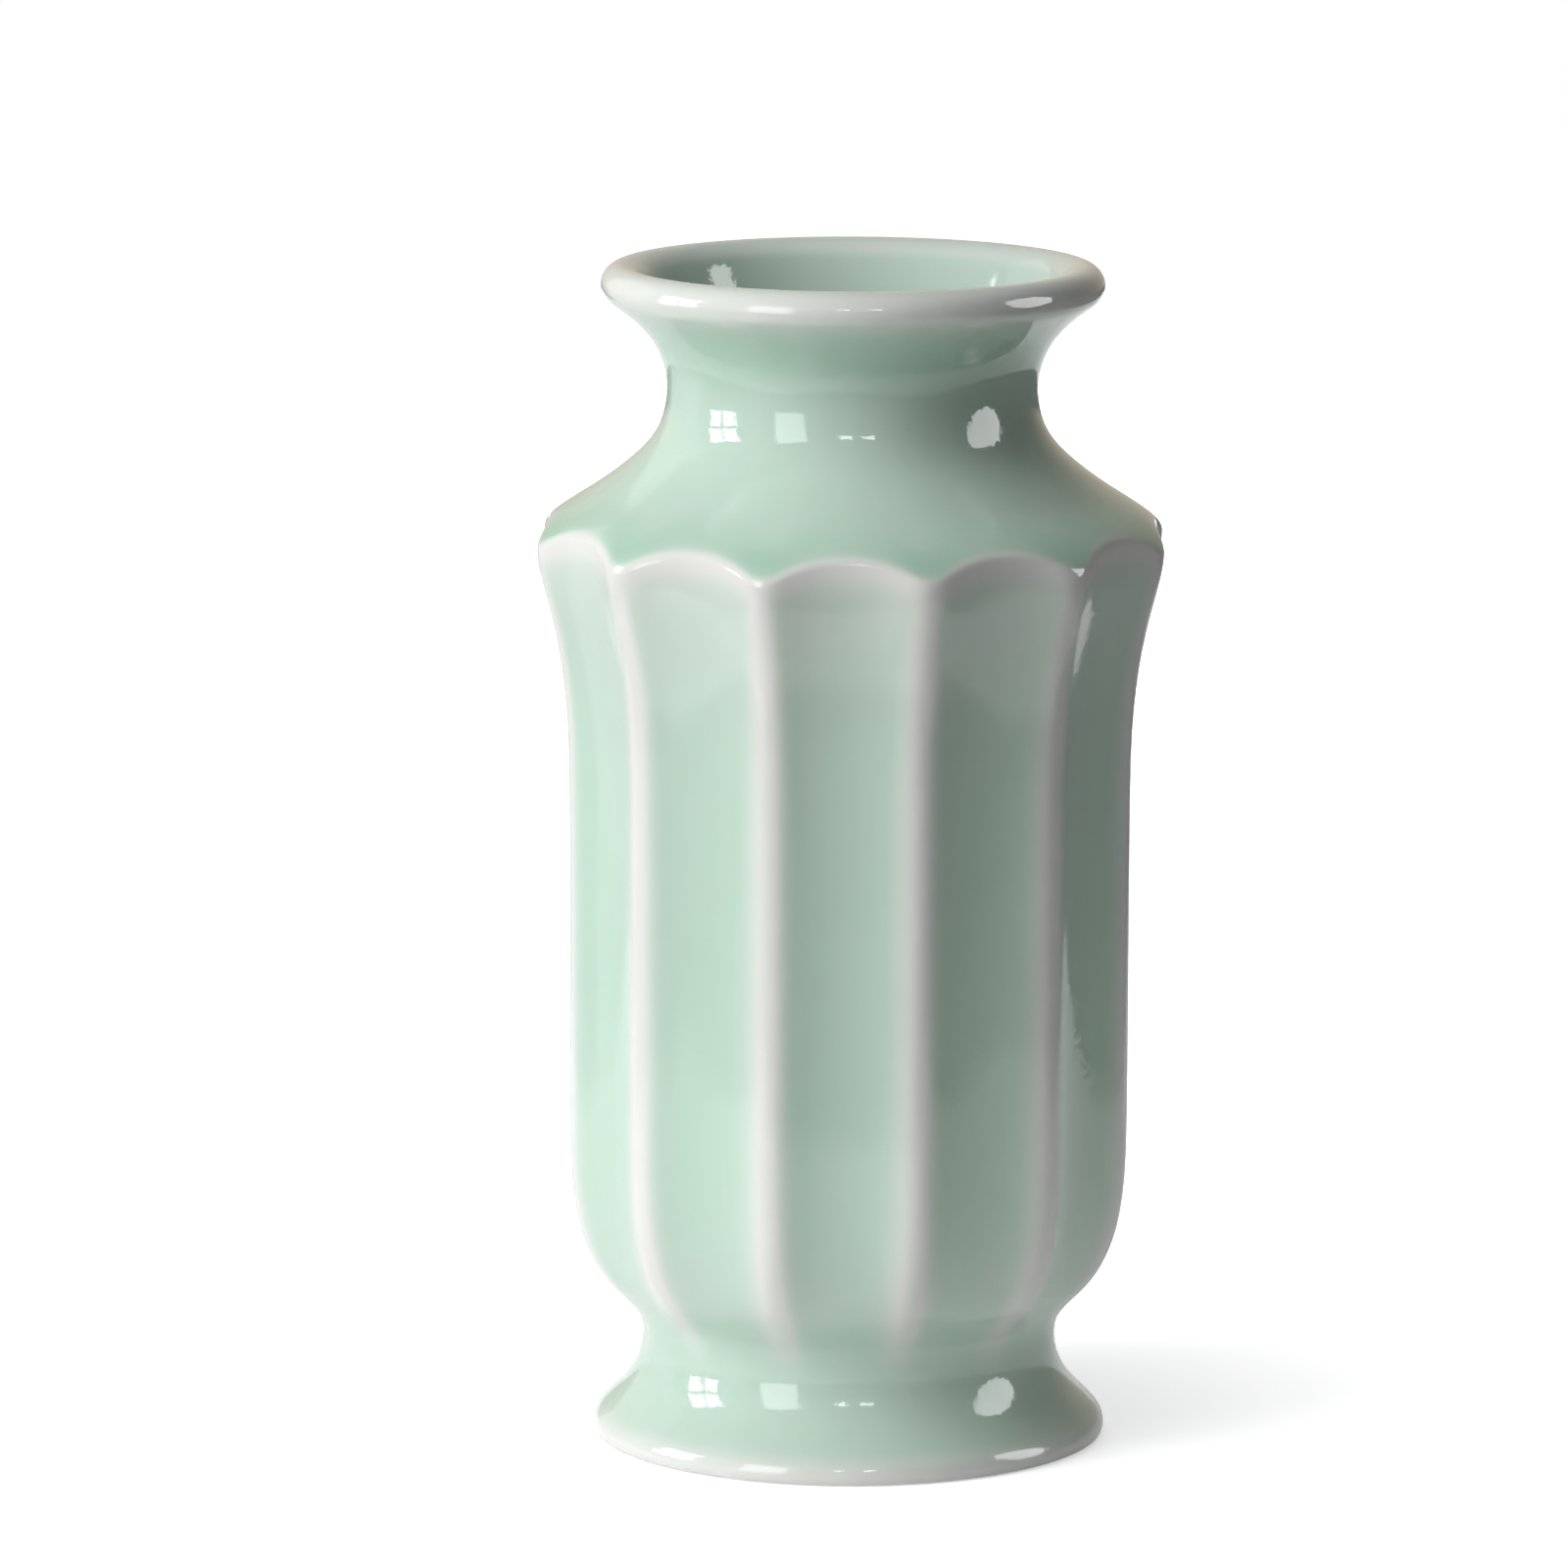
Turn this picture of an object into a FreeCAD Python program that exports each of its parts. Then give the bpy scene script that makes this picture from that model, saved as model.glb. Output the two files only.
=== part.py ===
import FreeCAD, Part
import os
from math import atan2, cos, radians, sin, sqrt, tan

os.makedirs("parts", exist_ok=True)

# A fluted baluster vase with a rolled lip, a wide neck, twelve hollows and a spreading foot.
# It stands on the floor with its axis on Z, and the middle of one hollow faces -Y.
# Outer sizes are those of the finished vase, over its glaze.

# Heights, one above the other from the floor
waist_height = 18.0
bowl_height = 34.0
straight_height = 68.0
swell_height = 41.5
shoulder_rise = 26.5
mouth_rise = 22.0

# Radii
waist_radius = 36.8
foot_spread = 9.0
body_radius = 51.1
shoulder_swell = 5.9
neck_radius = 32.75
lip_spread = 11.75

# Walls
body_wall = 3.9
neck_wall = 2.75
waist_wall = 4.2

# Rolled lip
lip_round = 3.6
lip_under_angle = -56.0
lip_inner_round = 5.2
lip_inner_angle = 158.0

# Flutes
flute_count = 12
flute_curve = 42.0
ridge_round = 6.0
arch_round = 1.8
flute_lead = 0.5
flute_run_in = 20.0

# Foot
foot_edge = 1.5
foot_round = 4.0
foot_slope_angle = 45.0
floor_height = 8.0
floor_flare = 1.8
floor_corner = 4.0
foot_ring_width = 5.7
recess_depth = 3.0
recess_slope = 3.0

# Luted joints between the three clay sections
neck_joint_drop = 10.0
joint_step = 1.5
lute_gap = 0.5

# Glaze
glaze_coat = 0.6
glaze_on_ridge = 0.35
glaze_stop_angle = -35.0

# Outlines between these sizes: share of the way up, share of the way across
foot_shares = ((0.345, 0.604), (0.565, 0.834))
bowl_shares = ((0.18, 0.182), (0.268, 0.40), (0.357, 0.587), (0.476, 0.748), (0.624, 0.88), (0.80, 0.955))
swell_shares = ((0.475, 0.22), (0.742, 0.627), (0.911, 0.932), (1, 1), (1.16, 1.08))
dome_shares = ((-0.13, -0.107), (0, 0), (0.125, 0.132), (0.22, 0.276), (0.335, 0.482), (0.468, 0.674),
               (0.62, 0.85), (0.82, 0.977))
flare_shares = ((0.357, 0.098), (0.681, 0.408))

# The same for the cavity, whose shoulder is widest at a share of the swell
cavity_bowl_shares = ((0.176, 0.155), (0.353, 0.57), (0.53, 0.83), (0.76, 0.965))
cavity_swell_shares = ((0.53, 0.25), (0.80, 0.74))
cavity_shoulder_share = 0.9
cavity_dome_shares = ((0.15, 0.04), (0.31, 0.26), (0.445, 0.56), (0.59, 0.812), (0.775, 0.969))
cavity_flare_shares = ((0.2, 0.063), (0.4, 0.249), (0.7, 0.623))

# Section points across half a flute, as shares of the way from its middle to its ridge
across_shares = (0.0, 0.28, 0.5, 0.68, 0.82, 0.91)

# Levels and radii that follow from the sizes
body_bottom = waist_height + bowl_height
body_top = body_bottom + straight_height
shoulder_height = body_top + swell_height
neck_height = shoulder_height + shoulder_rise
height = neck_height + mouth_rise
foot_radius = waist_radius + foot_spread
shoulder_radius = body_radius + shoulder_swell
lip_radius = neck_radius + lip_spread
throat_radius = neck_radius - neck_wall
waist_bore = waist_radius - waist_wall
floor_radius = waist_bore + floor_flare
neck_joint = neck_height - neck_joint_drop
foot_joint = waist_height
flute_start = waist_height + flute_lead
flute_full = waist_height + flute_run_in
half_pitch = 180.0 / flute_count

# Centres of the rounded edges, as (radius, level)
lip_centre = (lip_radius - lip_round, height - lip_round)
lip_inner_centre = (lip_centre[0], height - lip_inner_round)
foot_centre = (foot_radius - foot_round, foot_edge)
foot_tuck_centre = (foot_radius - glaze_coat - foot_edge, foot_edge)
floor_centre = (floor_radius - floor_corner, floor_height + floor_corner)


def at(radius, level):
    """A point of a turned outline."""
    return FreeCAD.Vector(radius, 0, level)


def on_round(centre, radius, angle):
    """A point on a rounded edge, at an angle above level."""
    return at(centre[0] + radius * cos(radians(angle)), centre[1] + radius * sin(radians(angle)))


def round_edge(centre, radius, start, end):
    """A rounded edge from one angle to another."""
    points = [on_round(centre, radius, angle) for angle in (start, (start + end) / 2, end)]
    return Part.Arc(*points).toShape()


def slope_at(angle):
    """How fast the radius grows with height where a rounded edge ends at this angle."""
    return -tan(radians(angle))


def between(low, high, shares):
    """Stations of an outline from one (level, radius) to another."""
    rise = high[0] - low[0]
    spread = high[1] - low[1]
    return [(low[0] + up * rise, low[1] + over * spread, None) for up, over in shares]


def height_curve(stations, inset):
    """A smooth outline through (level, radius, slope or None), whose parameter is the level."""
    curve = Part.BSplineCurve()
    curve.interpolate(
        Points=[at(radius - inset, level) for level, radius, slope in stations],
        Parameters=[level for level, radius, slope in stations],
        Tangents=[at(slope or 0, 1) for level, radius, slope in stations],
        TangentFlags=[slope is not None for level, radius, slope in stations],
        Scale=False)
    return curve


def side_curve(inset=0.0):
    """The side along the ridges, from the foot's rounded edge to just above the shoulder."""
    edge = on_round(foot_centre, foot_round - inset, foot_slope_angle)
    foot = (edge.z, edge.x + inset)
    waist = (waist_height, waist_radius)
    low = (body_bottom, body_radius)
    high = (body_top, body_radius)
    shoulder = (shoulder_height, shoulder_radius)
    stations = [foot + (slope_at(foot_slope_angle),)]
    stations += between(foot, waist, foot_shares) + [waist + (0,)]
    stations += between(waist, low, bowl_shares) + [low + (0,), high + (0,)]
    stations += between(high, shoulder, swell_shares)
    return height_curve(stations, inset)


def neck_curve(inset=0.0):
    """The turned shoulder and neck, from below the arches to the underside of the lip."""
    edge = on_round(lip_centre, lip_round - inset, lip_under_angle)
    lip = (edge.z, edge.x + inset)
    shoulder = (shoulder_height, shoulder_radius)
    neck = (neck_height, neck_radius)
    stations = between(shoulder, neck, dome_shares) + [neck + (0,)]
    stations += between(neck, lip, flare_shares) + [lip + (slope_at(lip_under_angle),)]
    return height_curve(stations, inset)


def cavity_curve(inset=0.0):
    """The cavity, from the corner of its floor to the inside of the lip."""
    edge = on_round(lip_inner_centre, lip_inner_round + inset, lip_inner_angle)
    lip = (edge.z, edge.x + inset)
    floor = (floor_height + floor_corner, floor_radius)
    waist = (waist_height, waist_bore)
    low = (body_bottom, flute_floor(body_radius) - body_wall)
    high = (body_top, low[1])
    shoulder = (body_top + cavity_shoulder_share * swell_height, flute_floor(shoulder_radius) - body_wall)
    throat = (neck_height, throat_radius)
    stations = [floor + (0,), waist + (0,)]
    stations += between(waist, low, cavity_bowl_shares) + [low + (0,), high + (0,)]
    stations += between(high, shoulder, cavity_swell_shares) + [shoulder + (0,)]
    stations += between(shoulder, throat, cavity_dome_shares) + [throat + (0,)]
    stations += between(throat, lip, cavity_flare_shares) + [lip + (slope_at(lip_inner_angle),)]
    return height_curve(stations, inset)


def hollow_centre(ridge):
    """The distance from the axis of the centre of a hollow's arc, for ridges at this radius."""
    inner = ridge - ridge_round
    turn = radians(half_pitch)
    return inner * cos(turn) + sqrt((flute_curve + ridge_round) ** 2 - (inner * sin(turn)) ** 2)


def flute_floor(ridge):
    """The radius at the middle of a flute, for ridges at this radius."""
    return hollow_centre(ridge) - flute_curve


def flute_section(ridge, angle):
    """The radius at an angle of the fluted section: hollow arcs that meet in rounded ridges."""
    turn = radians(half_pitch)
    inner = ridge - ridge_round
    centre = hollow_centre(ridge)
    hollow_share = flute_curve / (flute_curve + ridge_round)
    meet_across = centre + (inner * cos(turn) - centre) * hollow_share
    meet_aside = inner * sin(turn) * hollow_share
    from_middle = abs((radians(angle) + turn) % (2 * turn) - turn)
    if from_middle < atan2(meet_aside, meet_across):
        return centre * cos(from_middle) - sqrt(flute_curve ** 2 - (centre * sin(from_middle)) ** 2)
    from_ridge = turn - from_middle
    return inner * cos(from_ridge) + sqrt(ridge_round ** 2 - (inner * sin(from_ridge)) ** 2)


def ease(share):
    """A smooth step from 0 to 1."""
    share = min(max(share, 0.0), 1.0)
    return share * share * (3 - 2 * share)


def soft_min(first, second, reach):
    """The smaller of two radii, with the edge between the two surfaces rounded over."""
    overlap = max(reach - abs(first - second), 0) / reach
    return min(first, second) - overlap ** 3 * reach / 6


side = side_curve()
neck = neck_curve()
clay_side = side_curve(glaze_coat)
clay_neck = neck_curve(glaze_coat)
cavity = cavity_curve()
clay_cavity = cavity_curve(-glaze_coat)
arch_bottom = neck.FirstParameter
arch_top = side.LastParameter


def flute_depth(level):
    """How much of their full depth the flutes have at a level: they run in above the waist."""
    return ease((level - flute_start) / (flute_full - flute_start))


def finished_radius(level, angle):
    """The finished surface: the flutes, cut off in arches by the turned shoulder."""
    if level >= arch_top:
        return neck.value(level).x
    ridge = side.value(level).x
    fluted = ridge - flute_depth(level) * (ridge - flute_section(ridge, angle))
    if level <= arch_bottom:
        return fluted
    return soft_min(neck.value(level).x, fluted, arch_round)


def clay_radius(level, angle):
    """The clay under it. The glaze runs thin on the ridges."""
    ridge = side.value(min(level, arch_top)).x
    crest = (flute_section(ridge, angle) - flute_floor(ridge)) / (ridge - flute_floor(ridge))
    thin = crest * flute_depth(level) * ease((arch_top - level) / (arch_top - arch_bottom))
    return finished_radius(level, angle) - glaze_coat + (glaze_coat - glaze_on_ridge) * thin


def steps(start, end, count):
    """Evenly spaced levels, without the last one."""
    return [start + (end - start) * step / count for step in range(count)]


def around(radius, angle, level):
    """A point at an angle round the axis."""
    return FreeCAD.Vector(radius * cos(radians(angle)), radius * sin(radians(angle)), level)


def along(radius, angle):
    """The way round the axis at a point, for each degree of turn."""
    return FreeCAD.Vector(-radius * sin(radians(angle)), radius * cos(radians(angle)), 0) * radians(1)


def ridge_ring(radius, level):
    """A level curve over one ridge, from hollow to hollow, whose parameter is the angle."""
    half = [share * half_pitch for share in across_shares]
    angles = half + [half_pitch] + [2 * half_pitch - angle for angle in half[::-1]]
    curve = Part.BSplineCurve()
    curve.interpolate(
        Points=[around(radius(level, angle), angle, level) for angle in angles],
        Parameters=angles,
        InitialTangent=along(radius(level, angles[0]), angles[0]),
        FinalTangent=along(radius(level, angles[-1]), angles[-1]),
        Scale=False)
    return curve


def ridge_surface(radius):
    """The surface over one ridge, from joint to joint, whose parameters are the angle and the level."""
    levels = [foot_joint] + steps(foot_joint + lute_gap, flute_full, 9) + steps(flute_full, body_bottom, 3)
    levels += steps(body_bottom, body_top, 8) + steps(body_top, arch_bottom, 6)
    levels += steps(arch_bottom, arch_top, 12) + steps(arch_top, neck_joint, 4) + [neck_joint]
    rings = [ridge_ring(radius, level) for level in levels]
    risers = []
    for poles in zip(*(ring.getPoles() for ring in rings)):
        riser = Part.BSplineCurve()
        riser.interpolate(Points=list(poles), Parameters=levels)
        risers.append(riser)
    surface = Part.BSplineSurface()
    surface.buildFromPolesMultsKnots(
        [riser.getPoles() for riser in risers],
        rings[0].getMultiplicities(), risers[0].getMultiplicities(),
        rings[0].getKnots(), risers[0].getKnots(),
        False, False, rings[0].Degree, risers[0].Degree)
    return surface


def all_round(faces):
    """Copies of one ridge's faces for every flute, sewn into one solid."""
    copies = []
    for flute in range(flute_count):
        for face in faces:
            copy = face.copy()
            copy.rotate(at(0, 0), at(0, 1), flute * 2 * half_pitch)
            copies.append(copy)
    shell = Part.makeShell(copies)
    shell.sewShape()
    return Part.makeSolid(shell)


def swept(edges):
    """The faces that outline edges sweep in the width of one flute."""
    return [edge.revolve(at(0, 0), at(0, 1), 2 * half_pitch) for edge in edges]


def turned(*edges):
    """A solid turned from the closed outline that these edges make."""
    face = Part.Face(Part.Wire(Part.__sortEdges__(list(edges))))
    return face.revolve(at(0, 0), at(0, 1), 360)


def path(*points):
    """Straight edges through (radius, level) points."""
    return [Part.makeLine(at(*start), at(*end)) for start, end in zip(points, points[1:])]


def ends(curve, level):
    """The (radius, level) of an outline at a level."""
    return (curve.value(level).x, level)


def step_radius(joint, outer):
    """The radius of the upright face of a stepped joint, midway in the wall."""
    level = joint + joint_step
    return (outer.value(level).x + clay_cavity.value(level).x - lute_gap) / 2


def lute(joint, outer):
    """A thin ring of slip that fills a stepped joint."""
    step = step_radius(joint, outer)
    seat = joint + lute_gap
    top = joint + joint_step
    lines = path(ends(outer, joint), (step, joint), (step, top), ends(clay_cavity, top))
    lines += path(ends(outer, seat), (step + lute_gap, seat), (step + lute_gap, top + lute_gap),
                  ends(clay_cavity, top + lute_gap))
    return turned(outer.toShape(joint, seat), clay_cavity.toShape(top, top + lute_gap), *lines)


def mouth_and_neck():
    """The turned clay neck with its rolled lip, rebated to sit over the body's upstand."""
    seat = neck_joint + lute_gap
    rebate = seat + joint_step
    step = step_radius(neck_joint, clay_neck) + lute_gap
    return turned(
        clay_neck.toShape(seat, clay_neck.LastParameter),
        round_edge(lip_centre, lip_round - glaze_coat, lip_under_angle, 90),
        round_edge(lip_inner_centre, lip_inner_round - glaze_coat, 90, lip_inner_angle),
        clay_cavity.toShape(rebate, clay_cavity.LastParameter),
        *path(ends(clay_cavity, rebate), (step, rebate), (step, seat), ends(clay_neck, seat)))


def fluted_body():
    """The moulded clay body, with an upstand for the neck and a rebate for the foot."""
    seat = foot_joint + lute_gap
    rebate = seat + joint_step
    top = neck_joint + joint_step
    upper = step_radius(neck_joint, clay_neck)
    lower = step_radius(foot_joint, clay_side) + lute_gap
    outline = [clay_cavity.toShape(rebate, top)]
    outline += path(ends(clay_side, seat), (lower, seat), (lower, rebate), ends(clay_cavity, rebate))
    outline += path(ends(clay_neck, neck_joint), (upper, neck_joint), (upper, top), ends(clay_cavity, top))
    side_face = ridge_surface(clay_radius).toShape(0, 2 * half_pitch, seat, neck_joint)
    return all_round([side_face] + swept(outline))


def flared_foot():
    """The turned clay foot with the vase's floor, a bare standing ring and a recess under it."""
    top = foot_joint + joint_step
    step = step_radius(foot_joint, clay_side)
    floor = floor_height - glaze_coat
    ring = foot_tuck_centre[0] - foot_ring_width
    tuck = round_edge(foot_tuck_centre, foot_edge, -90, 0)
    return turned(
        tuck,
        round_edge(foot_centre, foot_round - glaze_coat, 0, foot_slope_angle),
        clay_side.toShape(clay_side.FirstParameter, foot_joint),
        clay_cavity.toShape(clay_cavity.FirstParameter, top),
        round_edge(floor_centre, floor_corner + glaze_coat, -90, 0),
        *path(ends(clay_side, foot_joint), (step, foot_joint), (step, top), ends(clay_cavity, top)),
        *path((floor_centre[0], floor), (0, floor), (0, recess_depth), (ring - recess_slope, recess_depth),
              (ring, 0), (foot_tuck_centre[0], 0)))


def outer_glaze():
    """The glaze outside, from the crest of the lip to just above the standing ring."""
    clay_lip = lip_round - glaze_coat
    clay_foot = foot_round - glaze_coat
    outlines = [
        round_edge(foot_tuck_centre, foot_edge + glaze_coat, glaze_stop_angle, 0),
        round_edge(foot_tuck_centre, foot_edge, glaze_stop_angle, 0),
        round_edge(foot_centre, foot_round, 0, foot_slope_angle),
        round_edge(foot_centre, clay_foot, 0, foot_slope_angle),
        side.toShape(side.FirstParameter, foot_joint),
        clay_side.toShape(clay_side.FirstParameter, foot_joint),
        neck.toShape(neck_joint, neck.LastParameter),
        clay_neck.toShape(neck_joint, clay_neck.LastParameter),
        round_edge(lip_centre, lip_round, lip_under_angle, 90),
        round_edge(lip_centre, clay_lip, lip_under_angle, 90),
        Part.makeLine(on_round(foot_tuck_centre, foot_edge, glaze_stop_angle),
                      on_round(foot_tuck_centre, foot_edge + glaze_coat, glaze_stop_angle)),
        Part.makeLine(on_round(lip_centre, clay_lip, 90), on_round(lip_centre, lip_round, 90))]
    faces = [ridge_surface(radius).toShape() for radius in (finished_radius, clay_radius)]
    return all_round(faces + swept(outlines))


def inner_glaze():
    """The glaze inside, from the crest of the lip down over the floor."""
    clay_lip = lip_inner_round - glaze_coat
    floor = floor_height - glaze_coat
    crest = on_round(lip_inner_centre, lip_inner_round, 90)
    return turned(
        round_edge(lip_inner_centre, lip_inner_round, 90, lip_inner_angle),
        cavity.toShape(cavity.FirstParameter, cavity.LastParameter),
        round_edge(floor_centre, floor_corner, -90, 0),
        *path((floor_centre[0], floor_height), (0, floor_height), (0, floor), (floor_centre[0], floor)),
        round_edge(floor_centre, floor_corner + glaze_coat, -90, 0),
        clay_cavity.toShape(clay_cavity.FirstParameter, clay_cavity.LastParameter),
        round_edge(lip_inner_centre, clay_lip, 90, lip_inner_angle),
        Part.makeLine(crest, on_round(lip_inner_centre, clay_lip, 90)))


def base_glaze():
    """The glaze on the ceiling of the recess under the foot."""
    edge = foot_tuck_centre[0] - foot_ring_width - recess_slope
    return turned(*path((0, recess_depth), (edge, recess_depth),
                        (edge + glaze_coat * recess_slope / recess_depth, recess_depth - glaze_coat),
                        (0, recess_depth - glaze_coat), (0, recess_depth)))


pieces = {
    "mouth_and_neck": mouth_and_neck(),
    "neck_lute": lute(neck_joint, clay_neck),
    "fluted_body": fluted_body(),
    "foot_lute": lute(foot_joint, clay_side),
    "flared_foot": flared_foot(),
    "outer_glaze": outer_glaze(),
    "inner_glaze": inner_glaze(),
    "base_glaze": base_glaze(),
}
for name, shape in pieces.items():
    shape.exportStep("parts/" + name + ".step")
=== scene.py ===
import bmesh
import bpy
from math import atan2, cos, degrees, exp, hypot, pi, radians, sin
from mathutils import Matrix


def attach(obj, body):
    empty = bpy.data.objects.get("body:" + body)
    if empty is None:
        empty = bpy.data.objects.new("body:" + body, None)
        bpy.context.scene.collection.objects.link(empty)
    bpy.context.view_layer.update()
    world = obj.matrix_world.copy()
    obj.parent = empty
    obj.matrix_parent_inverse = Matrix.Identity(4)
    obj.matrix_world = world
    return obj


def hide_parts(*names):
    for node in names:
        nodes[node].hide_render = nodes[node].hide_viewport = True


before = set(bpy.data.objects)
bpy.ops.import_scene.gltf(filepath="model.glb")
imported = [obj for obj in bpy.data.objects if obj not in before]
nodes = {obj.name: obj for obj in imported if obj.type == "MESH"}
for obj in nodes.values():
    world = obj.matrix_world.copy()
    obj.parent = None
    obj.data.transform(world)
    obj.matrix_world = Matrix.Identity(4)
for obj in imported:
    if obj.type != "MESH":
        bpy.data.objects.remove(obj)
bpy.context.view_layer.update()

mm = 0.001


# The clay neck, body and foot
# Three sections of pale stoneware: a turned neck and foot and a moulded, fluted body.
# They show only where no glaze lies, on the standing ring under the foot.

clay_pale = (0.66, 0.62, 0.55, 1)
clay_warm = (0.56, 0.50, 0.42, 1)
clay_mottle = 120
clay_mottle_spread = (0.35, 0.65)
clay_grog = 900
clay_grain = 0.08
clay_roughness = 0.86


def new_finish(name):
    """A material with its nodes cleared down to one shader and one output."""
    finish = bpy.data.materials.new(name)
    finish.use_nodes = True
    tree = finish.node_tree
    tree.nodes.clear()
    surface = tree.nodes.new("ShaderNodeBsdfPrincipled")
    output = tree.nodes.new("ShaderNodeOutputMaterial")
    tree.links.new(surface.outputs["BSDF"], output.inputs["Surface"])
    return finish, tree, surface


def object_noise(tree, scale, detail, stretch=(1, 1, 1)):
    """Noise laid through the piece in its own coordinates, stretched along them."""
    place = tree.nodes.new("ShaderNodeTexCoord")
    turn = tree.nodes.new("ShaderNodeMapping")
    turn.inputs["Scale"].default_value = stretch
    noise = tree.nodes.new("ShaderNodeTexNoise")
    noise.inputs["Scale"].default_value = scale
    noise.inputs["Detail"].default_value = detail
    tree.links.new(place.outputs["Object"], turn.inputs["Vector"])
    tree.links.new(turn.outputs["Vector"], noise.inputs["Vector"])
    return noise.outputs["Fac"]


def blend_colours(tree, share, first, second):
    """A mix of two colours, or of what two sockets give, by a share."""
    mix = tree.nodes.new("ShaderNodeMix")
    mix.data_type = "RGBA"
    tree.links.new(share, mix.inputs["Factor"])
    for socket, colour in ((mix.inputs[6], first), (mix.inputs[7], second)):
        if hasattr(colour, "links"):
            tree.links.new(colour, socket)
        else:
            socket.default_value = colour
    return mix.outputs[2]


def stretch_range(tree, value, given, wanted):
    """One range of values, such as (0.3, 0.7), drawn out to another."""
    spread = tree.nodes.new("ShaderNodeMapRange")
    spread.inputs["From Min"].default_value, spread.inputs["From Max"].default_value = given
    spread.inputs["To Min"].default_value, spread.inputs["To Max"].default_value = wanted
    tree.links.new(value, spread.inputs["Value"])
    return spread.outputs["Result"]


def rough_up(tree, surface, height, distance):
    """A bump from a height, on top of any bump that the surface has."""
    bump = tree.nodes.new("ShaderNodeBump")
    bump.inputs["Distance"].default_value = distance
    for link in surface.inputs["Normal"].links:
        tree.links.new(link.from_socket, bump.inputs["Normal"])
    tree.links.new(height, bump.inputs["Height"])
    tree.links.new(bump.outputs["Normal"], surface.inputs["Normal"])


def fired_clay(name, pale, warm):
    """Bare stoneware: two close tones of clay and the fine grain of its grog."""
    finish, tree, surface = new_finish(name)
    tone = stretch_range(tree, object_noise(tree, clay_mottle, detail=3), clay_mottle_spread, (0, 1))
    tree.links.new(blend_colours(tree, tone, pale, warm), surface.inputs["Base Color"])
    surface.inputs["Roughness"].default_value = clay_roughness
    rough_up(tree, surface, object_noise(tree, clay_grog, detail=4), clay_grain * mm)
    return finish


def finish_node(name, finish):
    """A CAD node keeps its mesh and takes this material."""
    slots = nodes[name].data.materials
    slots.clear()
    slots.append(finish)


stoneware = fired_clay("fired_stoneware", clay_pale, clay_warm)
for section in ("flared_foot", "fluted_body", "mouth_and_neck"):
    finish_node(section, stoneware)


# The slip joints
# Two thin rings of slip, the same clay let down with water, that lute the sections together.

slip_pale = (0.62, 0.59, 0.53, 1)
slip_warm = (0.54, 0.49, 0.42, 1)
slip_joint = fired_clay("joining_slip", slip_pale, slip_warm)
for ring in ("foot_lute", "neck_lute"):
    finish_node(ring, slip_joint)


# The base glaze
# A thin even coat of the same pale green glaze, brushed on the ceiling of the recess under the foot.

glaze_white = (0.745, 0.75, 0.725, 1)
glaze_green = (0.49, 0.66, 0.555, 1)
glaze_deep = (0.35, 0.56, 0.43, 1)
glaze_runs = 260
glaze_run_stretch = (1, 1, 0.09)
glaze_clouds = 34
glaze_spread = (0.3, 0.7)
glaze_colour_change = (0.94, 1.06)
glaze_light_change = (0.985, 1.015)
glaze_roughness = (0.055, 0.09)
glaze_bend = 1.52
even_coat_depths = (0, 0.25)

# Two bumps of the glaze, as (how fine, how high)
glaze_ripple = (55, 0.12)
glaze_pits = (620, 0.03)


def pale_green_glaze(name, by_depth):
    """Glossy pale green glaze: white where it lies thin, deeper green where it pools."""
    finish, tree, surface = new_finish(name)
    runs = object_noise(tree, glaze_runs, detail=3, stretch=glaze_run_stretch)
    cloud = object_noise(tree, glaze_clouds, detail=2)
    if by_depth:
        depth = tree.nodes.new("ShaderNodeAttribute")
        depth.attribute_name = "glaze_depth_with_painted_light"
        depth = depth.outputs["Fac"]
        thin = stretch_range(tree, depth, (0, 1), (0, 1))
        deep = stretch_range(tree, depth, (1, 2), (0, 1))
        colour = blend_colours(tree, thin, glaze_white, glaze_green)
        colour = blend_colours(tree, deep, colour, glaze_deep)
    else:
        deep = stretch_range(tree, cloud, glaze_spread, even_coat_depths)
        colour = blend_colours(tree, deep, glaze_green, glaze_deep)
    streak = tree.nodes.new("ShaderNodeHueSaturation")
    tree.links.new(colour, streak.inputs["Color"])
    tree.links.new(stretch_range(tree, runs, glaze_spread, glaze_colour_change), streak.inputs["Saturation"])
    tree.links.new(stretch_range(tree, cloud, glaze_spread, glaze_light_change), streak.inputs["Value"])
    tree.links.new(streak.outputs["Color"], surface.inputs["Base Color"])
    tree.links.new(stretch_range(tree, cloud, glaze_spread, glaze_roughness), surface.inputs["Roughness"])
    surface.inputs["IOR"].default_value = glaze_bend
    for fineness, rise in (glaze_ripple, glaze_pits):
        rough_up(tree, surface, object_noise(tree, fineness, detail=1), rise * mm)
    return finish


finish_node("base_glaze", pale_green_glaze("recess_glaze", False))


# The outer glaze
# One coat of clear pale green glaze over the outside, from the crest of the lip to just above the standing
# ring. It is white where it runs thin, on the ridges and edges, and deeper green where it gathers.

coat = 0.6
coat_on_ridge = 0.35
flutes = 12
half_pitch = 180 / flutes
body_radius = 51.1
flute_depth = 2.98
flute_deepening = 1.7
flute_start = 18.5
flute_run_in = 19.5
straight_low = 52
straight_high = 120
shoulder_low = 158.1
flutes_end = 168.1

# Share of a flute's full depth at each lane, from its middle to its ridge, and the arch over each lane
lanes = 8
ring_points = 2 * flutes * lanes
lane_depths = (1.0, 0.981, 0.925, 0.831, 0.695, 0.517, 0.288, 0.071, 0.0)
arch_levels = (164.96, 164.91, 164.75, 164.48, 164.06, 163.48, 162.67, 161.80, 161.50)
arch_round = 1.8

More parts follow.
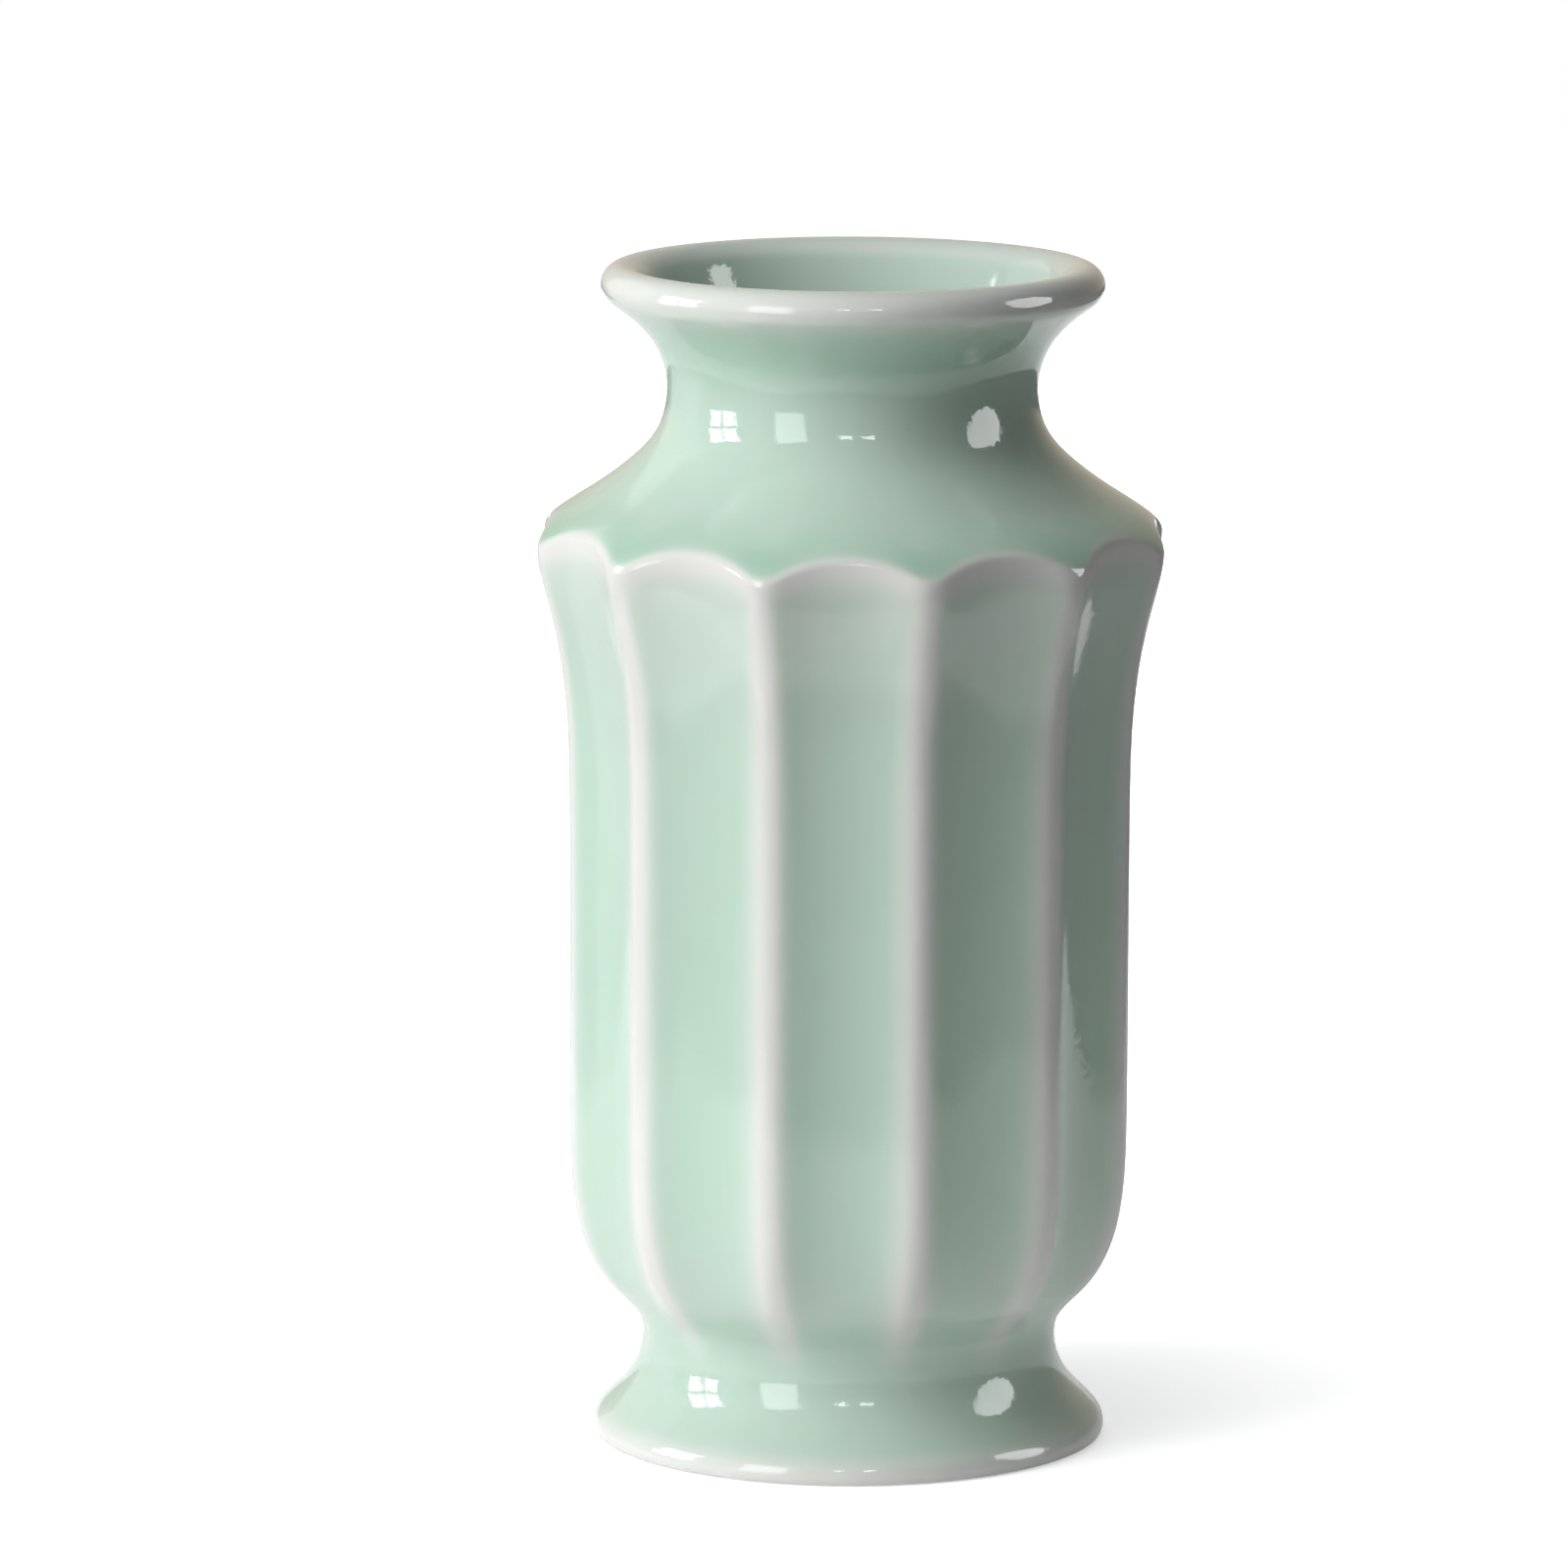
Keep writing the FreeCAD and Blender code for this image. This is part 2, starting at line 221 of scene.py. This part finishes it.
# Outlines as (level, radius), measured up from the floor and out from the axis
foot_tuck = (43.7, 1.5, 2.1)
foot_bead = (41.8, 1.5, 4.0)
lip_bead = (40.9, 206.4, 3.6)
foot_and_bowl = ((4.33, 44.63), (9.05, 39.9), (12.05, 38.1), (18, 36.8), (24.12, 39.4), (27.1, 42.5),
                 (30.15, 45.2), (34.2, 47.5), (39.2, 49.4), (45.2, 50.45),
                 (straight_low, body_radius))
swell = ((straight_high, body_radius), (139.7, 52.4), (150.8, 54.8), (157.8, 56.6), (161.5, 57),
         (168.15, 57.47))
shoulder_and_neck = ((158.05, 59.6), (161.5, 57), (164.8, 53.8), (167.3, 50.3), (170.4, 45.3),
                     (173.9, 40.65), (177.95, 36.15), (183.2, 33.3), (188, 32.75), (193.5, 33.75),
                     (198.5, 36.9), (203.4, 42.9))
foot_slope = -1
swell_slope = 0.07
shoulder_slope = -0.8
lip_slope = 1.48

# The rows of the coat: angles on its rounded edges, levels up its wall, and the rows round the arches, each
# with its level at the ridge and how far it follows the arches
foot_tuck_angles = (-35, -20, -3)
foot_bead_angles = (12, 28, 45)
wall_levels = (6.5, 8.7, 11, 13.3, 15.6, 18, 20.4, 22.7, 25, 27.3, 29.7, 32.3, 35.5, 39.5, 45,
               straight_low, 70, 95, straight_high, 129, 137, 144)
arch_rows = ((149.5, 0.3), (154, 0.65), (157.2, 0.9), (159.1, 1), (160.1, 1), (160.75, 1), (161.2, 1),
             (161.55, 1), (161.95, 1), (162.5, 1), (163.3, 1), (164.6, 0.93), (166.6, 0.7), (169.2, 0.4),
             (172.2, 0.17), (175.3, 0.05))
neck_levels = (178.4, 181.6, 184.8, 188, 191.2, 194.2, 197, 199.4, 201.5)
lip_angles = (-56, -38, -19, 0, 19, 38, 56, 71, 82, 88, 90)
smoothing_rounds = 60


def smooth_line(points, first_slope, last_slope):
    """The smooth line through given points, as a function of the level."""
    levels = [level for level, radius in points]
    radii = [radius for level, radius in points]
    gaps = [high - low for low, high in zip(levels, levels[1:])]
    rises = [(high - low) / gap for low, high, gap in zip(radii, radii[1:], gaps)]
    slopes = [first_slope] + [(before + after) / 2 for before, after in zip(rises, rises[1:])] + [last_slope]
    for settle in range(smoothing_rounds):
        for k in range(1, len(points) - 1):
            pull = 3 * (rises[k - 1] / gaps[k - 1] + rises[k] / gaps[k])
            pull -= slopes[k - 1] / gaps[k - 1] + slopes[k + 1] / gaps[k]
            slopes[k] = pull / (2 / gaps[k - 1] + 2 / gaps[k])

    def radius_at(level):
        k = max(i for i in range(len(gaps)) if level >= levels[i] or i == 0)
        share = (level - levels[k]) / gaps[k]
        back = 1 - share
        bend = share * back * gaps[k] * (back * (slopes[k] - rises[k]) + share * (rises[k] - slopes[k + 1]))
        return back * radii[k] + share * radii[k + 1] + bend

    return radius_at


bowl_line = smooth_line(foot_and_bowl, foot_slope, 0)
swell_line = smooth_line(swell, 0, swell_slope)
neck_line = smooth_line(shoulder_and_neck, shoulder_slope, lip_slope)


def ease(share):
    """A smooth step from 0 to 1."""
    share = min(max(share, 0), 1)
    return share * share * (3 - 2 * share)


def fluted_radius(level, lane):
    """The fluted wall: the ridges' line, less the depth of the flute at this lane."""
    if level < straight_low:
        ridge = bowl_line(level)
    else:
        ridge = swell_line(max(level, straight_high))
    full_depth = flute_depth * (ridge / body_radius) ** flute_deepening
    return ridge - full_depth * lane_depths[lane] * ease((level - flute_start) / flute_run_in)


def wall_radius(level, lane):
    """The fluted wall, cut off in arches by the turned shoulder, with that edge rounded."""
    if level > flutes_end:
        return neck_line(level)
    fluted = fluted_radius(level, lane)
    if level < shoulder_low:
        return fluted
    turned = neck_line(level)
    overlap = max(arch_round - abs(turned - fluted), 0) / arch_round
    return min(turned, fluted) - overlap ** 3 * arch_round / 6


def on_bead(bead, angle):
    """A point on a rounded edge, as (level, radius)."""
    centre, level, size = bead
    return level + size * sin(radians(angle)), centre + size * cos(radians(angle))


def outer_rows():
    """Each row of the coat from the foot up, as a (level, radius) for each lane of half a flute."""
    rows = [[on_bead(foot_tuck, angle)] * (lanes + 1) for angle in foot_tuck_angles]
    rows += [[on_bead(foot_bead, angle)] * (lanes + 1) for angle in foot_bead_angles]
    for level in wall_levels:
        rows.append([(level, wall_radius(level, lane)) for lane in range(lanes + 1)])
    for low, follow in arch_rows:
        lifted = [low + follow * (arch - arch_levels[-1]) for arch in arch_levels]
        rows.append([(level, wall_radius(level, lane)) for lane, level in enumerate(lifted)])
    rows += [[(level, neck_line(level))] * (lanes + 1) for level in neck_levels]
    rows += [[on_bead(lip_bead, angle)] * (lanes + 1) for angle in lip_angles]
    return rows


merge_gap = 0.004
just_past = 0.01
sharp_edge = 50


def start_circle(name, level, radius):
    """A circle of points laid level round the axis, open for editing."""
    bpy.ops.object.select_all(action="DESELECT")
    bpy.ops.mesh.primitive_circle_add(vertices=ring_points, radius=radius * mm, location=(0, 0, level * mm))
    piece = bpy.context.object
    piece.name = piece.data.name = name
    bpy.ops.object.transform_apply(location=True, rotation=True, scale=True)
    bpy.ops.object.mode_set(mode="EDIT")
    bpy.ops.mesh.select_mode(type="VERT")
    return piece


def points_in_order(piece):
    """The numbers of the selected points, in order round the axis from the middle of the front flute."""
    bm = bmesh.from_edit_mesh(piece.data)
    bm.verts.index_update()
    chosen = [v for v in bm.verts if v.select]
    return [v.index for v in sorted(chosen, key=lambda v: atan2(v.co.y, v.co.x))]


def choose(piece, numbers):
    """Only the points with these numbers are selected."""
    bpy.ops.mesh.select_all(action="DESELECT")
    bm = bmesh.from_edit_mesh(piece.data)
    bm.verts.ensure_lookup_table()
    for number in numbers:
        bm.verts[number].select_set(True)
    bm.select_flush_mode()
    bmesh.update_edit_mesh(piece.data)


def put(piece, numbers, level, radius):
    """These points, which are level and equally far from the axis, are moved to a level and a radius."""
    choose(piece, numbers)
    bm = bmesh.from_edit_mesh(piece.data)
    bm.verts.ensure_lookup_table()
    now = bm.verts[numbers[0]].co.copy()
    size = radius * mm / hypot(now.x, now.y)
    bpy.ops.transform.resize(value=(size, size, 1), center_override=(0, 0, 0))
    bpy.ops.transform.translate(value=(0, 0, level * mm - now.z))


def draw_up(piece, row):
    """The selected row is extruded, and each lane of the new one is put at its own level and radius."""
    bpy.ops.mesh.extrude_region_move(TRANSFORM_OT_translate={"value": (0, 0, 0)})
    ring = points_in_order(piece)
    if len(row) == 1:
        put(piece, ring, *row[0])
    else:
        for number, place in zip(ring, row):
            put(piece, [number], *place)
        choose(piece, ring)


def clean_surface(piece, inside):
    """Doubles are merged and the faces turned one way, and the surface is smoothed by one level."""
    bpy.ops.mesh.select_all(action="SELECT")
    bpy.ops.mesh.remove_doubles(threshold=merge_gap * mm)
    bpy.ops.mesh.normals_make_consistent(inside=inside)
    bpy.ops.object.mode_set(mode="OBJECT")
    smooth = piece.modifiers.new("smooth", "SUBSURF")
    smooth.levels = smooth.render_levels = 1
    bpy.ops.object.modifier_apply(modifier="smooth")


def give_depth(piece, depth_at, share_at):
    """Each point gets the glaze's depth there, with its painted light, for its colour, and its share of the
    full coat.
    """
    places = []
    for v in piece.data.vertices:
        turn = degrees(atan2(v.co.x, -v.co.y))
        off_middle = (turn + half_pitch) % (2 * half_pitch) - half_pitch
        places.append((v.co.z / mm, hypot(v.co.x, v.co.y) / mm, off_middle))
    share = piece.vertex_groups.new(name="coat")
    for number, place in enumerate(places):
        share.add([number], share_at(*place), "REPLACE")
    depth = piece.data.attributes.new("glaze_depth_with_painted_light", "FLOAT", "POINT")
    depth.data.foreach_set("value", [depth_at(*place) for place in places])


def give_wall(piece):
    """The coat gets its thickness, into the clay."""
    wall = piece.modifiers.new("wall", "SOLIDIFY")
    wall.thickness = coat * mm
    wall.offset = -1
    wall.vertex_group = "coat"
    bpy.ops.object.modifier_apply(modifier="wall")
    piece.vertex_groups.clear()
    bpy.ops.object.shade_smooth_by_angle(angle=radians(sharp_edge))


rows = outer_rows()
outer = start_circle("outer_glaze_coat", *rows[0][0])
bpy.ops.mesh.select_all(action="DESELECT")
bm = bmesh.from_edit_mesh(outer.data)
for v in bm.verts:
    turn = degrees(atan2(v.co.x, -v.co.y))
    v.select_set(not -just_past < turn < half_pitch + just_past)
bmesh.update_edit_mesh(outer.data)
bpy.ops.mesh.delete(type="VERT")
bpy.ops.mesh.select_all(action="SELECT")
for row in rows[1:]:
    draw_up(outer, row)
bpy.ops.object.mode_set(mode="OBJECT")
other_half = outer.modifiers.new("other_half", "MIRROR")
other_half.merge_threshold = merge_gap * mm
bpy.ops.object.modifier_apply(modifier="other_half")
bpy.ops.object.mode_set(mode="EDIT")
bpy.ops.mesh.select_all(action="SELECT")
bpy.ops.mesh.spin(steps=flutes - 1, dupli=True, angle=radians(360 - 2 * half_pitch), center=(0, 0, 0),
                  axis=(0, 0, 1))
clean_surface(outer, False)


# How far the white reaches from a ridge, and how high up the bowl the ridges turn white
# The white reaches further on the left side of each ridge, which faces the lamps: that extra width is painted
# light.
ridge_white_and_painted_light_left = 4.0
ridge_white_right = 2.7
ridge_white = 1.15
ridge_white_from = 16
ridge_white_run = 13

# The white under the arches: a band close below them, a slow fade further down, and their edge itself
arch_soft = 0.6
band_white = 0.45
band_low = 6
band_run = 4.5
fade_white = 0.62
fade_reach = 21
edge_white = 0.9
edge_lift = 0.1
edge_reach = 0.8

# The white of the lip, which is less on its crest, and of the foot's edge
lip_white = 0.74
lip_white_from = 200.5
lip_white_run = 5.5
crest_less = 0.16
crest_from = 30
crest_run = 50
foot_white = 0.78
foot_white_to = 6.2
foot_white_run = 4.2

# Where more or less glaze lies: over the arches and most at their cusps, on the shoulder, in the waist,
# on the bowl, and under the lip
pool_rise = 2.6
pool_all_round = 0.12
pool_at_cusp = 0.4
pool_at_cusp_reach = 6
shoulder_less = 0.15
shoulder_less_from = 164
shoulder_less_run = 4
waist_more = 0.12
waist_level = 20
waist_reach = 6
waist_ridge_less = 0.7
waist_ridge_reach = 3
bowl_less = 0.16
bowl_less_to = 50
bowl_less_run = 20
under_lip_more = 0.3
under_lip_level = 196
under_lip_reach = 4

# Where the coat is thinner on the ridges
thin_reach = 2.5
thin_from = 20
thin_run = 14
thin_under_arch = 4


def bump_of(distance, reach):
    """1 on a line, falling away softly over a reach on both sides."""
    return exp(-(distance / reach) ** 2)


def arch_over(from_middle):
    """The level of the arch over an angle from the middle of a flute."""
    place = from_middle / half_pitch * lanes
    lane = min(int(place), lanes - 1)
    return arch_levels[lane] + (place - lane) * (arch_levels[lane + 1] - arch_levels[lane])


def outer_depth_with_painted_light(level, radius, off_middle):
    """How deep the glaze lies: 0 where it is white, 1 in the flutes, more where it pools, with painted light
    widening the ridges' white on their sides that face the lamps.
    """
    from_middle = abs(off_middle)
    from_ridge = radians(half_pitch - from_middle) * radius
    over_arch = level - arch_over(from_middle)
    below = ease((arch_soft - over_arch) / (2 * arch_soft))

    # Painted light: the ridge's white reaches further on its side that faces the lamps.
    reach = ridge_white_and_painted_light_left if off_middle > 0 else ridge_white_right
    ridge = min(ridge_white * bump_of(from_ridge, reach), 1)
    ridge *= ease((level - ridge_white_from) / ridge_white_run) * below
    band = band_white * ease((over_arch + band_low) / band_run)
    fade = fade_white * exp(min(over_arch, 0) / fade_reach)
    edge = edge_white * bump_of(over_arch - edge_lift, edge_reach)
    lip_angle = degrees(atan2(level - lip_bead[1], radius - lip_bead[0]))
    lip = lip_white - crest_less * ease((lip_angle - crest_from) / crest_run)
    lip *= ease((level - lip_white_from) / lip_white_run)
    foot = foot_white * ease((foot_white_to - level) / foot_white_run)
    thin = max(ridge, below * (band + fade), edge, lip, foot)

    over_cusp = pool_all_round + pool_at_cusp * bump_of(from_ridge, pool_at_cusp_reach)
    pool = over_cusp * bump_of(over_arch - pool_rise, pool_rise)
    pool -= shoulder_less * ease((level - shoulder_less_from) / shoulder_less_run)
    waist = waist_more * bump_of(level - waist_level, waist_reach)
    waist *= 1 - waist_ridge_less * bump_of(from_ridge, waist_ridge_reach)
    waist -= bowl_less * ease((bowl_less_to - level) / bowl_less_run)
    under_lip = under_lip_more * bump_of(level - under_lip_level, under_lip_reach) * (1 - lip)
    return max(1 - thin, 0) + (1 - below) * pool + waist + under_lip


def outer_share(level, radius, off_middle):
    """The coat is thinner on the ridges."""
    from_middle = abs(off_middle)
    from_ridge = radians(half_pitch - from_middle) * radius
    on_ridge = bump_of(from_ridge, thin_reach) * ease((level - thin_from) / thin_run)
    on_ridge *= ease((arch_over(from_middle) - level) / thin_under_arch)
    return 1 - (1 - coat_on_ridge / coat) * on_ridge


give_depth(outer, outer_depth_with_painted_light, outer_share)
give_wall(outer)
glaze = pale_green_glaze("pale_green_glaze", True)
outer.data.materials.append(glaze)
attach(outer, "root")
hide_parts("outer_glaze")


# The inner glaze
# The same coat inside, poured in and drained out, from the crest of the lip down the wall and over the floor.
# It gathers a little on the floor.

cavity_radius = 44.2
floor_bead = (30.4, 12, 4.0)
bowl_inside = ((12, 34.4), (18, 32.6), (24, 34.4), (30, 39.2), (36, 42.25), (43.85, 43.8),
               (straight_low, cavity_radius))
neck_inside = ((straight_high, cavity_radius), (139.8, 45.55), (149.9, 48.1), (157.35, 49.5),
               (161.95, 48.7), (166.85, 44.45), (171, 38.6), (175.45, 33.7), (181.1, 30.6), (188, 30),
               (191.75, 30.38), (195.5, 31.51), (201.1, 33.79), (206.75, 36.08))
neck_flare = 0.404
lip_roll = (40.9, 204.8, 5.2)

# The rows of the coat inside: angles on its rounded edges, levels down its wall, and rings on the floor
lip_roll_angles = (90, 92, 98, 108, 121, 134, 147, 158)
neck_inside_levels = (205, 202.8, 200.2, 197.4, 194.3, 191, 187.5, 184, 181, 178.3, 175.8, 173.4, 171, 168.6,
                      166.2, 163.8, 161.2, 158, 154, 149, 143, 136, 128, straight_high)
bowl_inside_levels = (95, 70, straight_low, 45, 39, 34.5, 31, 28, 25, 22, 19, 16, 13.8)
floor_bead_angles = (0, -20, -40, -60, -78, -90)
floor_radii = (28, 20, 11, 4)

# How deep the glaze lies inside, paler over the roll of the lip (thin glaze there, and painted light where
# the roll faces up) and more on the floor
inside_depth = 0.8
roll_pale_with_painted_light = 0.4
roll_pale_with_painted_light_from = 206.4
roll_pale_with_painted_light_run = 1.9
floor_deeper = 0.35
bowl_inside_line = smooth_line(bowl_inside, 0, 0)
neck_inside_line = smooth_line(neck_inside, 0, neck_flare)


def inner_rows():
    """Each row of the coat from the lip down to the floor's rounded corner, as (level, radius)."""
    rows = [on_bead(lip_roll, angle) for angle in lip_roll_angles]
    rows += [(level, neck_inside_line(level)) for level in neck_inside_levels]
    rows += [(level, bowl_inside_line(min(level, straight_low))) for level in bowl_inside_levels]
    rows += [on_bead(floor_bead, angle) for angle in floor_bead_angles]
    rows += [(floor_bead[1] - floor_bead[2], radius) for radius in floor_radii]
    return rows


rows = inner_rows()
inner = start_circle("inner_glaze_coat", *rows[0])
bpy.ops.mesh.select_all(action="SELECT")
for place in rows[1:]:
    draw_up(inner, [place])
bpy.ops.mesh.extrude_region_move(TRANSFORM_OT_translate={"value": (0, 0, 0)})
bpy.ops.mesh.merge(type="CENTER")
clean_surface(inner, False)


def inner_depth_with_painted_light(level, radius, off_middle):
    """Pale over the roll of the lip, from thin glaze and from painted light where it faces up, green below
    it, and a little deeper on the floor.
    """
    # Painted light: the upward-facing roll of the lip is made paler, on top of its thinner glaze.
    roll = roll_pale_with_painted_light * ease((level - roll_pale_with_painted_light_from) / roll_pale_with_painted_light_run)
    floor = floor_deeper * ease((floor_bead[1] - level) / floor_bead[2])
    return inside_depth - roll + floor


def inner_share(level, radius, off_middle):
    """The coat is even inside."""
    return 1


give_depth(inner, inner_depth_with_painted_light, inner_share)
give_wall(inner)
inner.data.materials.append(glaze)
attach(inner, "root")
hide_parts("inner_glaze")


# The table
# A narrow white studio table that runs back from the vase and keeps its soft shadow. Past the table's
# front and side edges the glaze reflects the room instead.

table_front = 0.31
table_back = 2.2
table_width = 0.68
table_colour = (0.92, 0.92, 0.92, 1)
table_in_glaze = 0.3

# The table is lifted to white for the camera from a near distance to a far one, less close to the vase
table_fade = (0.045, 0.2)
table_lift = (0.5, 1)
stage_roughness = 0.9
white = (1, 1, 1, 1)
black = (0, 0, 0, 1)


def seen_white(name, own_colour, glow):
    """A stage material, white for the camera and with its own glow in the glaze, and its two strengths."""
    finish, tree, surface = new_finish(name)
    surface.inputs["Base Color"].default_value = own_colour
    surface.inputs["Roughness"].default_value = stage_roughness
    surface.inputs["Specular IOR Level"].default_value = 0
    ray = tree.nodes.new("ShaderNodeLightPath")
    shown = blend_colours(tree, ray.outputs["Is Camera Ray"], glow, white)
    tree.links.new(shown, surface.inputs["Emission Color"])
    lifts = []
    for kind in ("Is Camera Ray", "Is Glossy Ray"):
        amount = tree.nodes.new("ShaderNodeMath")
        amount.operation = "MULTIPLY"
        tree.links.new(ray.outputs[kind], amount.inputs[0])
        lifts.append(amount)
    total = tree.nodes.new("ShaderNodeMath")
    for number, amount in enumerate(lifts):
        tree.links.new(amount.outputs[0], total.inputs[number])
    tree.links.new(total.outputs[0], surface.inputs["Emission Strength"])
    return finish, tree, [amount.inputs[1] for amount in lifts]


def distance_from(tree, centre):
    """How far a point is from a place on the stage."""
    place = tree.nodes.new("ShaderNodeTexCoord")
    reach = tree.nodes.new("ShaderNodeVectorMath")
    reach.operation = "DISTANCE"
    reach.inputs[1].default_value = centre
    tree.links.new(place.outputs["Object"], reach.inputs[0])
    return reach.outputs["Value"]


table_white, tree, (to_camera, in_glaze) = seen_white("table_white", table_colour, white)
tree.links.new(stretch_range(tree, distance_from(tree, (0, 0, 0)), table_fade, table_lift), to_camera)
in_glaze.default_value = table_in_glaze

bpy.ops.object.select_all(action="DESELECT")
bpy.ops.mesh.primitive_plane_add(size=1, location=(0, (table_back - table_front) / 2, 0))
table = bpy.context.object
table.name = "studio_table"
bpy.ops.transform.resize(value=(table_width, table_back + table_front, 1))
bpy.ops.object.transform_apply(location=True, rotation=True, scale=True)
table.data.materials.append(table_white)


# The backdrop
# A wall behind the table, white to the camera. The glaze shows it warm and dim along the vase's outline,
# where the surface turns away from the camera.

backdrop_width = 5
backdrop_height = 2.6
backdrop_glow = (1, 0.86, 0.68, 1)
backdrop_centre = (0, table_back, 0.3)
backdrop_fade = (0.6, 1.9)
backdrop_in_glaze = (0.6, 0.3)

backdrop_white, tree, (to_camera, in_glaze) = seen_white("backdrop_white", black, backdrop_glow)
to_camera.default_value = 1
off_centre = distance_from(tree, backdrop_centre)
tree.links.new(stretch_range(tree, off_centre, backdrop_fade, backdrop_in_glaze), in_glaze)

place = (0, table_back, backdrop_height / 2)
bpy.ops.mesh.primitive_plane_add(size=1, location=place, rotation=(pi / 2, 0, 0))
backdrop = bpy.context.object
backdrop.name = "studio_backdrop"
bpy.ops.transform.resize(value=(backdrop_width, 1, backdrop_height))
bpy.ops.object.transform_apply(location=True, rotation=True, scale=True)
backdrop.data.materials.append(backdrop_white)


# The light
# Soft light from the left and from above on the left, a weak fill from the front and one from behind, and
# nothing from the right. The window's panes, the wall panels and the other lamps only show in the glaze.

light_middle = 0.11
room_light = 0.11
room_in_glaze = 0.17


def lamp(name, turn, rise, distance, width, height, power, shape="RECTANGLE"):
    """A lamp round the vase: turn is to the right of the camera, rise above level, both in degrees."""
    side = distance * cos(radians(rise))
    up = light_middle + distance * sin(radians(rise))
    place = (side * sin(radians(turn)), -side * cos(radians(turn)), up)
    bpy.ops.object.light_add(type="AREA", location=place)
    light = bpy.context.object
    light.name = name
    light.data.shape = shape
    light.data.size = width
    light.data.size_y = height
    light.data.energy = power
    aim = (-place[0], -place[1], light_middle - place[2])
    light.rotation_euler = (pi / 2 + atan2(aim[2], hypot(aim[0], aim[1])), 0, atan2(aim[1], aim[0]) - pi / 2)
    return light


def soft_light(name, turn, rise, distance, width, height, power):
    """A soft lamp that lights the vase and shows in no reflection."""
    lamp(name, turn, rise, distance, width, height, power).visible_glossy = False


def reflection(name, turn, rise, distance, width, height, brightness, shape="RECTANGLE"):
    """A lamp of one brightness all over that shows only as a reflection."""
    area = width * height * (pi / 4 if shape == "ELLIPSE" else 1)
    lamp(name, turn, rise, distance, width, height, brightness * pi * area, shape).visible_diffuse = False


soft_light("soft_left", turn=-60, rise=19, distance=1.2, width=0.8, height=1.3, power=13.9)
soft_light("soft_top", turn=-60, rise=56, distance=1.2, width=1.0, height=1.0, power=3)
soft_light("soft_front", turn=-20, rise=60, distance=1.5, width=1.2, height=1.0, power=3.4)
soft_light("soft_back", turn=180, rise=20, distance=1.4, width=1.0, height=1.0, power=8)

pane_rises = {"low": 6, "high": 22}
pane_turns = {"left": -91, "right": -79}
for row, rise in pane_rises.items():
    for side, turn in pane_turns.items():
        reflection(f"window_{row}_{side}", turn, rise, distance=1.2, width=0.2, height=0.28, brightness=9)
reflection("wall_panel", turn=-37, rise=14, distance=1.2, width=0.42, height=0.75, brightness=4.5)
reflection("left_wall", turn=-128, rise=6, distance=1.2, width=0.9, height=1.4, brightness=0.55)
for side, turn in {"left": -3, "right": 11}.items():
    reflection(f"small_lamp_{side}", turn, rise=24, distance=1.4, width=0.13, height=0.12, brightness=10)
reflection("round_lamp", turn=89, rise=16, distance=0.9, width=0.42, height=0.62, brightness=6,
           shape="ELLIPSE")

room = bpy.data.worlds.new("white_studio")
room.use_nodes = True
air = room.node_tree
air.nodes.clear()
ray = air.nodes.new("ShaderNodeLightPath")
seen = air.nodes.new("ShaderNodeBackground")
seen.inputs["Color"].default_value = white
seen.inputs["Strength"].default_value = 1
around = air.nodes.new("ShaderNodeBackground")
around.inputs["Color"].default_value = white
strength = stretch_range(air, ray.outputs["Is Glossy Ray"], (0, 1), (room_light, room_in_glaze))
air.links.new(strength, around.inputs["Strength"])
either = air.nodes.new("ShaderNodeMixShader")
out = air.nodes.new("ShaderNodeOutputWorld")
air.links.new(ray.outputs["Is Camera Ray"], either.inputs["Fac"])
air.links.new(around.outputs["Background"], either.inputs[1])
air.links.new(seen.outputs["Background"], either.inputs[2])
air.links.new(either.outputs["Shader"], out.inputs["Surface"])
bpy.context.scene.world = room


# The camera
# A long lens a little above the lip, looking down at the vase, which stands right of the picture's middle.

camera_distance = 1.7085
camera_height = 0.4137
lens_length = 224.2
film_width = 36
sees_to = 20
picture_middle = 0.1045
turned_left = 0.398
round_right = 1.0
tipped_up = 0.406
rolled = 0.172

aside = radians(round_right)
place = (camera_distance * sin(aside), -camera_distance * cos(aside), camera_height)
bpy.ops.object.camera_add(location=place)
camera = bpy.context.object
camera.name = "camera"
camera.data.lens = lens_length
camera.data.sensor_width = film_width
camera.data.clip_end = sees_to
look_down = degrees(atan2(camera_height - picture_middle, camera_distance))
camera.rotation_mode = "XYZ"
camera.rotation_euler = (radians(90 - look_down + tipped_up), 0, radians(turned_left) + aside)
camera.rotation_euler.rotate_axis("Z", radians(rolled))
bpy.context.scene.camera = camera
bpy.context.scene.view_settings.view_transform = "Standard"
